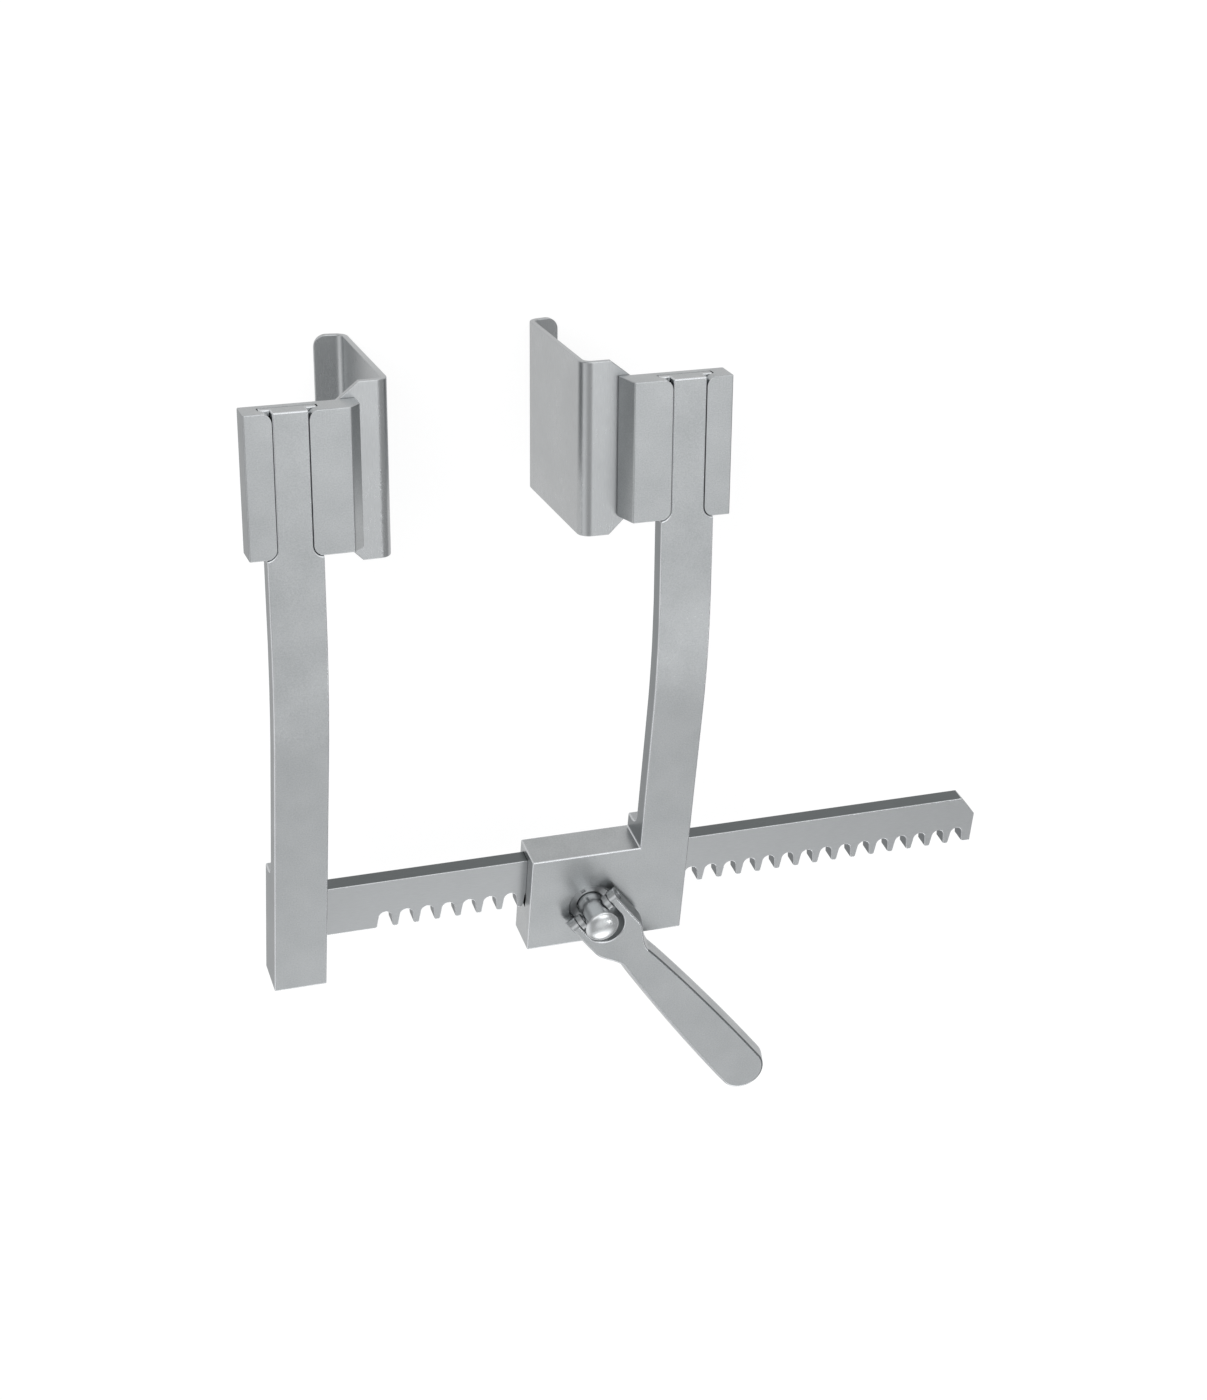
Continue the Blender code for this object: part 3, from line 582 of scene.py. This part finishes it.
# Bush: turned ring of stainless steel, pressed into the front of the box a little below
# its face, with two notches for the wrench that seats it. Its cut face is left matt.
SHAFT_RADIUS = 4.7 * MM
BUSH_EASE = 0.4 * MM
NOTCH_NEAR, NOTCH_FAR, NOTCH_HALF = 6.0 * MM, 7.6 * MM, 0.9 * MM
NOTCH_ANGLES = (118.0, 298.0)
inner = SHAFT_RADIUS + GAP
face = -BUSH_RECESS
profile = [(inner, bush_floor), (BUSH_RADIUS, bush_floor), (BUSH_RADIUS, face - BUSH_EASE)]
profile += [(BUSH_RADIUS - BUSH_EASE, face), (inner + BUSH_EASE, face), (inner, face - BUSH_EASE)]
bush = piece_of("crank_bush", turned_of(profile, 96), AXIS)
matt_turned = steel("stainless_steel_turned_matt", "#C6C8C9", "#BABCBD", 0.40)
bush.data.materials.append(matt_turned)
for turn_deg in NOTCH_ANGLES:
    notch = block_of((NOTCH_NEAR, -NOTCH_HALF, face - MM), (NOTCH_FAR, NOTCH_HALF, MM))
    shape_with(bush, notch, "DIFFERENCE", AXIS, (0, 0, math.radians(turn_deg)))
dress(bush)
seat(bush, "carriage", "spindle_bush_steel", "spindle_bush")


# Crank spindle: turned from one piece of bar, with a disc behind the bush, a plain shaft
# and an oval cap in front of it. Lathe polishing makes it the brightest piece, with soft
# streaks down the shaft and a spot on the cap.
polished_steel = steel("stainless_steel_lathe_polished", "#DCDEDF", "#D2D4D5", 0.24, relief=0.001)
CAP_RADIUS = 6.3 * MM
CAP_Z = 13.2 * MM
CAP_DOME = 1.9 * MM
LEVER_TURN = math.radians(37.9)
LEVER_LEAN = math.radians(-4.8)
LEVER_Z = 4.6 * MM
CROSS_PIN = 1.5 * MM
PIN_CIRCLE = 3.75 * MM
DRIVE_PIN = 1.25 * MM
DRIVE_PIN_ANGLES = (45.0, 225.0)
DISC_SKIN = 0.6 * MM
DISC_FRONT = bush_floor - GAP
DISC_BACK = BAR_FRONT + GAP
pin_places = []
for turn_deg in DRIVE_PIN_ANGLES:
    angle = math.radians(turn_deg)
    pin_places.append(AXIS + PIN_CIRCLE * Vector((math.cos(angle), math.sin(angle), 0.0)))


def bore_of(radius, low, high, along_x=False):
    """Round bore, used to cut."""
    return turned_of([(0, low), (radius, low), (radius, high), (0, high)], 48, along_x)


profile = [(0, DISC_BACK), (DISC_RADIUS, DISC_BACK), (DISC_RADIUS, DISC_FRONT)]
profile += [(SHAFT_RADIUS, DISC_FRONT)]
meet = -math.acos(SHAFT_RADIUS / CAP_RADIUS)
for k in range(25):
    angle = meet + (math.pi / 2 - meet) * k / 24
    profile.append((CAP_RADIUS * math.cos(angle), CAP_Z + CAP_DOME * math.sin(angle)))
profile[-1] = (0.0, CAP_Z + CAP_DOME)
crank_turn = (0, 0, LEVER_TURN)
cross_place = AXIS + Vector((0, 0, LEVER_Z))
spindle = piece_of("crank_spindle_turned", turned_of(profile, 96), AXIS, crank_turn)
spindle.data.materials.append(polished_steel)
cross_hole = bore_of(CROSS_PIN + GAP, -2 * CAP_RADIUS, 2 * CAP_RADIUS, along_x=True)
shape_with(spindle, cross_hole, "DIFFERENCE", cross_place, crank_turn)
for place in pin_places:
    pin_hole = bore_of(DRIVE_PIN + GAP / 2, DISC_BACK - MM, DISC_FRONT - DISC_SKIN)
    shape_with(spindle, pin_hole, "DIFFERENCE", place)
dress(spindle, sharp=40.0)
seat(spindle, "crank", "crank_spindle_steel", "crank_spindle")


# Drive pins and rear cheek: two ground dowels of hardened steel stand in the disc, pass
# through two gullets of the bar and end in a turned cheek behind it. Hardening leaves the
# dowels a darker grey than the rest.
hardened_steel = steel("hardened_steel_ground", "#A0A2A4", "#94969A", 0.38, relief=0.001)
PIN_IN_CHEEK = 1.4 * MM
PIN_UNDER_DISC = 0.9 * MM
PIN_EASE = 0.25 * MM
CHEEK_BORE = 1.7 * MM
CHEEK_SINK = 0.2 * MM
CHEEK_EASE = 0.3 * MM
pin_back = BAR_BACK - GAP - PIN_IN_CHEEK
pin_front = DISC_FRONT - PIN_UNDER_DISC
for label, place in zip("ab", pin_places):
    profile = [(0, pin_back), (DRIVE_PIN - PIN_EASE, pin_back), (DRIVE_PIN, pin_back + PIN_EASE)]
    profile += [(DRIVE_PIN, pin_front - PIN_EASE), (DRIVE_PIN - PIN_EASE, pin_front), (0, pin_front)]
    dowel = piece_of(f"drive_dowel_{label}", turned_of(profile, 48), place)
    dowel.data.materials.append(hardened_steel)
    dress(dowel)
    seat(dowel, "crank", "drive_pin_steel", f"drive_pin_{label}")

cheek_front = BAR_BACK - GAP
cheek_back = -BASE_THICK + CHEEK_SINK
profile = [(0, cheek_back), (DISC_RADIUS - CHEEK_EASE, cheek_back), (DISC_RADIUS, cheek_back + CHEEK_EASE)]
profile += [(DISC_RADIUS, cheek_front), (0, cheek_front)]
cheek = piece_of("rear_cheek_turned", turned_of(profile, 96), AXIS)
cheek.data.materials.append(turned_steel)
for place in pin_places:
    pin_hole = bore_of(DRIVE_PIN + GAP / 2, cheek_front - CHEEK_BORE, cheek_front + MM)
    shape_with(cheek, pin_hole, "DIFFERENCE", place)
dress(cheek)
seat(cheek, "crank", "rear_cheek_steel", "rear_cheek")


# Lever: forged stainless steel, wider behind than in front by its draft, and blasted. A fork
# straddles the spindle and pivots on the cross pin, so that the lever folds flat over the
# crank. Its edges are burnished, apart from the dark line down the handle's right side, which is a painted
# reflection in the edge strip's colour.
LEVER_THICK = 6.0 * MM
LEVER_LENGTH = 112.0 * MM
LEVER_NECK = 6.9 * MM
NECK_Y = -27.0 * MM
LEVER_END = 10.0 * MM
LEVER_DRAFT = 1.4 * MM
FORK_WIDTH = 23.0 * MM
FORK_SLOT = 14.6 * MM
FORK_DEPTH = 13.0 * MM
FORK_TIP = 3.2 * MM
SHOULDER = 0.5 * MM
HANDLE_SWELL = 0.8
LEVER_EDGE = 0.6 * MM
BRIGHT_SLOT = 2


def lever_outline(draft):
    """Outline (x, y) of the lever; the cross pin is at the origin."""
    outer, slot = FORK_WIDTH / 2 - draft, FORK_SLOT / 2
    neck, end = LEVER_NECK - draft, LEVER_END - draft
    end_y = LEVER_END - LEVER_LENGTH
    shoulder_y = -FORK_DEPTH - SHOULDER
    right = [(slot, FORK_TIP), (outer, FORK_TIP)]
    for k in range(25):
        share = k / 24
        ease = (1 - math.cos(math.pi * share)) / 2
        right.append((outer + (neck - outer) * ease, shoulder_y + (NECK_Y - shoulder_y) * share))
    for k in range(1, 17):
        share = k / 16
        ease = math.sin(math.pi * share / 2) ** HANDLE_SWELL
        right.append((neck + (end - neck) * ease, NECK_Y + (end_y - NECK_Y) * share))
    tip = arc((0.0, end_y), end, 0.0, -180.0, 48)[1:-1]
    left = [(-a, b) for a, b in right[::-1]]
    return right + tip + left + arc((0.0, -FORK_DEPTH + slot), slot, 180.0, 360.0, 40)


bm = bmesh.new()
back = [bm.verts.new((a, b, -LEVER_THICK / 2)) for a, b in lever_outline(0.0)]
front = [bm.verts.new((a, b, LEVER_THICK / 2)) for a, b in lever_outline(LEVER_DRAFT)]
bm.faces.new(back)
bm.faces.new(front)
for k in range(len(back)):
    after = (k + 1) % len(back)
    bm.faces.new((back[k], back[after], front[after], front[k]))
lever_turn = (LEVER_LEAN, 0, LEVER_TURN)
lever = piece_of("lever_forging", bm, cross_place, lever_turn)
finish(lever, blasted_steel, painted_dark_edge, burnished_edge)
break_edges(lever, LEVER_EDGE, segments=4, angle=40.0)
tip_y = FORK_TIP - LEVER_THICK / 2
far, over = -LEVER_LENGTH - MM, LEVER_THICK / 2 + MM
rounding = arc((tip_y, 0.0), LEVER_THICK / 2 + 0.01 * MM, -90.0, 90.0, 32)
rounding += [(tip_y, over), (far, over), (far, -over), (tip_y, -over)]
shape_with(lever, bar_of(rounding, -FORK_WIDTH, FORK_WIDTH, "X"), "INTERSECT", cross_place, lever_turn)
cross_hole = bore_of(CROSS_PIN + GAP, -FORK_WIDTH, FORK_WIDTH, along_x=True)
shape_with(lever, cross_hole, "DIFFERENCE", cross_place, lever_turn)
# Painted reflection: the dark edge colour stays only down the handle's right side; the other edges take the
# burnished colour.
for face in lever.data.polygons:
    if face.material_index == EDGE_SLOT and (face.center.y > NECK_Y or face.center.x < 0.0):
        face.material_index = BRIGHT_SLOT
dress(lever)
seat(lever, "lever", "lever_steel", "lever")


# Lever pin and spacers: a ground cross pin through the fork and the shaft, peened at its
# ends, with a turned ring on it at each side of the shaft that keeps the fork centred.
PEEN_SINK = 0.1 * MM
PEEN_EASE = 0.3 * MM
reach = (FORK_WIDTH - LEVER_DRAFT) / 2 - PEEN_SINK
profile = [(0, -reach), (CROSS_PIN - PEEN_EASE, -reach), (CROSS_PIN, -reach + PEEN_EASE)]
profile += [(CROSS_PIN, reach - PEEN_EASE), (CROSS_PIN - PEEN_EASE, reach), (0, reach)]
cross_pin = piece_of("lever_cross_pin", turned_of(profile, 48, along_x=True), cross_place, crank_turn)
cross_pin.data.materials.append(hardened_steel)
dress(cross_pin)
seat(cross_pin, "crank", "lever_pin_steel", "lever_pin")
SPACER_RADIUS = 2.9 * MM
near, off = SHAFT_RADIUS + GAP, FORK_SLOT / 2 - GAP
for label, way in (("a", -1), ("b", 1)):
    profile = [(CROSS_PIN + GAP, near), (SPACER_RADIUS, near), (SPACER_RADIUS, off), (CROSS_PIN + GAP, off)]
    ring = turned_of([(radius, way * height) for radius, height in profile], 48, along_x=True)
    spacer = piece_of(f"lever_spacer_ring_{label}", ring, cross_place, crank_turn)
    spacer.data.materials.append(matt_turned)
    dress(spacer)
    seat(spacer, "crank", "lever_spacer_steel", f"lever_spacer_{label}")


# Blade holders: milled stainless blocks with a T-shaped slot, open at both ends, that slide
# over the arms' heads, so that the blades lift off for cleaning. They are blasted like the
# arms, and their inner sides are planed at a slant, one steeper than the other.
HOLDER_OUTER = 15.4 * MM
HOLDER_INNER = 19.8 * MM
HOLDER_THICK = 9.9 * MM
INNER_SLANT = {"left": (3.8 * MM, 4.1 * MM), "right": (2.4 * MM, 8.7 * MM)}
SHEET = 2.0 * MM
SEAM = 0.12 * MM
HOLDER_EDGE = 0.45 * MM
SLOT_EDGE = 0.12 * MM
BLADE_SCREW_X = 14.6 * MM
BLADE_SCREW_LENGTH = 7.0 * MM
BLADE_SCREW_STEP = 28.0 * MM
SCREW_FLOOR = -HOLDER_THICK - GAP - SHEET
head_turn = (-BEND, 0, 0)
hands = (("left", "left_blade", 0.0, 1), ("right", "right_blade", SLIDE_MIDDLE, -1))


def blade_screw_places(middle_x, way):
    """Places of the two screws of one blade, at the back of its sheet."""
    places = []
    for side in (-1, 1):
        height = (HEAD_LOW + HEAD_HIGH) / 2 + side * BLADE_SCREW_STEP / 2
        places.append(Vector((middle_x + way * BLADE_SCREW_X, *on_head(height, SCREW_FLOOR))))
    return places


for hand, body, middle_x, way in hands:
    at = (middle_x, BEND_Y, 0.0)
    spread, deep = INNER_SLANT[hand]
    foot_x = way * (HOLDER_INNER + spread)
    section = [(-way * HOLDER_OUTER, 0.0), (way * HOLDER_INNER, 0.0), (foot_x, -deep)]
    section += [(foot_x, -HOLDER_THICK), (-way * HOLDER_OUTER, -HOLDER_THICK)]
    holder = piece_of(f"blade_block_{hand}", bar_of(section, HEAD_LOW, HEAD_HIGH, "Y"), at, head_turn)
    finish(holder, blasted_steel, flank_painted_shade)
    break_edges(holder, HOLDER_EDGE, edge_slot=0)
    # Painted shade: each block's outer side takes the darker flank colour.
    for face in holder.data.polygons:
        if face.normal.x * way < -SIDEWAYS:
            face.material_index = 1
    stem = STEM_HALF + SEAM
    mouth = [(stem + STEM_CORNER, HEAD_LOW - MM)]
    mouth += arc((stem + STEM_CORNER, HEAD_LOW + STEM_CORNER), STEM_CORNER, 270.0, 180.0)
    mouth += arc((stem + STEM_CORNER, HEAD_HIGH - STEM_CORNER), STEM_CORNER, 180.0, 90.0)
    mouth += [(stem + STEM_CORNER, HEAD_HIGH + MM)]
    throat = bar_of(mouth + [(-a, b) for a, b in mouth[::-1]], -HEAD_PLATE - MM, MM)
    shape_with(holder, throat, "DIFFERENCE", at, head_turn)
    wide = ARM_WIDTH / 2 + GAP
    slot = block_of((-wide, HEAD_LOW - MM, -ARM_THICK - GAP), (wide, HEAD_HIGH + MM, -HEAD_PLATE))
    shape_with(holder, slot, "DIFFERENCE", at, head_turn)
    break_edges(holder, SLOT_EDGE, segments=2, angle=60.0, edge_slot=0)
    for place in blade_screw_places(middle_x, way):
        shape_with(holder, screw_room(BLADE_SCREW_LENGTH), "DIFFERENCE", place, head_turn)
    dress(holder)
    seat(holder, body, "holder_steel", f"blade_holder_{hand}")


# Blades: stainless sheet, blanked, bent back at a right angle and lipped at the far edge,
# then brushed along the bends, which gives soft streaks beside them. Two screws from behind
# hold each to its block.
brushed_steel = steel(
    "stainless_steel_brushed_sheet",
    "#C6C8C9",
    "#BABCBD",
    0.29,
    grit=0.30,
    relief=0.0008,
    stretch=(1.0, 0.08, 1.0),
    clouds=22.0,
)
BLADE_LOW = 43.9 * MM
BLADE_HIGH = 105.3 * MM
BLADE_REACH = 15.3 * MM
BLADE_BACK = -72.0 * MM
BLADE_BEND = 4.5 * MM
LIP_TURN = math.radians(80.0)
LIP_LENGTH = 7.6 * MM
LIP_CORNER = 4.5 * MM
SHEET_EASE = 0.45 * MM
TAIL_START = 2.0 * MM
FLARE = (16.8 * MM, 24.8 * MM)
TAIL_PLAY = 1.0 * MM


def blade_path():
    """Mid-line (x, depth, normal) of the sheet from its tail, over the wall, to the lip."""
    half_sheet = SHEET / 2
    depth = -HOLDER_THICK - GAP - half_sheet
    radius = BLADE_BEND - half_sheet
    corner_x = HOLDER_INNER + BLADE_REACH - BLADE_BEND
    stations = []
    for k in range(5):
        stations.append((TAIL_START + SHEET_EASE * (1 - math.cos(math.radians(22.5 * k))), depth, (0.0, 1.0)))
    for k in range(13):
        stations.append((FLARE[0] + (FLARE[1] - FLARE[0]) * k / 12, depth, (0.0, 1.0)))
    for k in range(25):
        angle = math.radians(90.0 - 90.0 * k / 24)
        normal = (math.cos(angle), math.sin(angle))
        stations.append((corner_x + radius * normal[0], depth - radius + radius * normal[1], normal))
    low = BLADE_BACK + BLADE_BEND
    for k in range(25):
        angle = -LIP_TURN * k / 24
        normal = (math.cos(angle), math.sin(angle))
        stations.append((corner_x + radius * normal[0], low + radius * normal[1], normal))
    x, deep, normal = stations[-1]
    for k in range(1, 21):
        reach = LIP_LENGTH - LIP_CORNER * (1 - math.sin(math.radians(90.0 * k / 20)))
        stations.append((x + normal[1] * reach, deep - normal[0] * reach, normal))
    return stations


def round_over(radius, left):
    """How far a rounded corner draws an edge in where this much of the sheet is left."""
    left = min(radius, left)
    return radius - math.sqrt(radius**2 - (radius - left) ** 2)


for hand, body, middle_x, way in hands:
    stations = blade_path()
    travel = [0.0]
    for here, there in zip(stations, stations[1:]):
        travel.append(travel[-1] + math.hypot(there[0] - here[0], there[1] - here[1]))
    bm = bmesh.new()
    rings = []
    for (x, depth, normal), run in zip(stations, travel):
        share = 1.0
        if normal[1] > 0.99:
            share = min(1.0, max(0.0, (x - FLARE[0]) / (FLARE[1] - FLARE[0])))
        thinned = round_over(SHEET_EASE, min(run, travel[-1] - run))
        drop = thinned + round_over(LIP_CORNER, travel[-1] - run)
        low = HEAD_LOW + TAIL_PLAY + (BLADE_LOW - HEAD_LOW - TAIL_PLAY) * share + drop
        high = HEAD_HIGH - TAIL_PLAY + (BLADE_HIGH - HEAD_HIGH + TAIL_PLAY) * share - drop
        inner = SHEET / 2 - thinned - SHEET_EASE
        section = arc((-inner, high - SHEET_EASE), SHEET_EASE, 180.0, 90.0, 4)
        section += arc((inner, high - SHEET_EASE), SHEET_EASE, 90.0, 0.0, 4)
        section += arc((inner, low + SHEET_EASE), SHEET_EASE, 0.0, -90.0, 4)
        section += arc((-inner, low + SHEET_EASE), SHEET_EASE, -90.0, -180.0, 4)
        ring = []
        for across, height in section:
            ring.append(bm.verts.new((way * (x + across * normal[0]), height, depth + across * normal[1])))
        rings.append(ring)
    for here, there in zip(rings, rings[1:]):
        for k in range(len(here)):
            after = (k + 1) % len(here)
            bm.faces.new((here[k], here[after], there[after], there[k]))
    bm.faces.new(rings[0])
    bm.faces.new(rings[-1])
    blade = piece_of(f"blade_sheet_{hand}", bm, (middle_x, BEND_Y, 0.0), head_turn)
    blade.data.materials.append(brushed_steel)
    for place in blade_screw_places(middle_x, way):
        shape_with(blade, screw_room(BLADE_SCREW_LENGTH), "DIFFERENCE", place, head_turn)
    dress(blade, sharp=40.0)
    seat(blade, body, "blade_steel", f"blade_{hand}")


# Blade screws: like the bar's, each through the sheet into its block from behind.
for hand, body, middle_x, way in hands:
    for label, place in zip(("low", "high"), blade_screw_places(middle_x, way)):
        node = f"blade_screw_{hand}_{label}"
        screw_of(f"sheet_screw_{hand}_{label}", BLADE_SCREW_LENGTH, place, head_turn, body, node)
